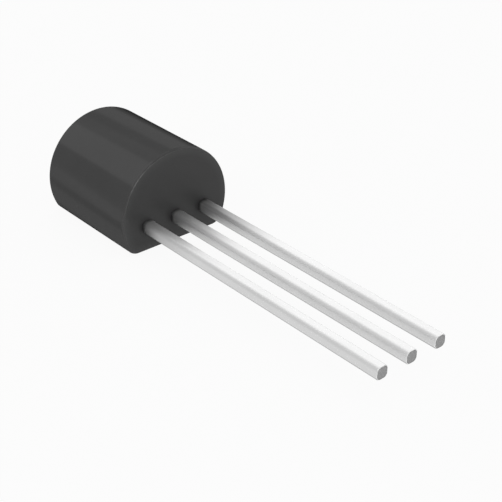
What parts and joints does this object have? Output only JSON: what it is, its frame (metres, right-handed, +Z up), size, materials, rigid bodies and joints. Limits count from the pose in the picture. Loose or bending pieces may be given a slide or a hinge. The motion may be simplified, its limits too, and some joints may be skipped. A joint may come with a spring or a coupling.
{
  "type": "temperature sensor",
  "caption": "Small black moulded temperature sensor with a round back, a flat side and a row of straight tinned leads for soldering into a board.",
  "frame": {"origin": "centre of the flat side of the moulding", "axes": "+X along the leads towards their tips, +Y along the row of leads towards lead 1, +Z up from the flat side to the round back"},
  "size_m": [0.0167, 0.0048, 0.0036],
  "materials": {
    "moulding": "satin",
    "tinned_lead": "satin",
    "silicon": "polished",
    "adhesive": "matte",
    "gold_wire": "polished"
  },
  "bodies": {
    "root": {"moulded_body": "moulding", "lead_1": "tinned_lead", "lead_2": "tinned_lead", "lead_3": "tinned_lead", "sensor_chip": "silicon", "die_attach": "adhesive", "bond_wire_1": "gold_wire", "bond_wire_2": "gold_wire", "bond_wire_3": "gold_wire"}
  },
  "joints": []
}
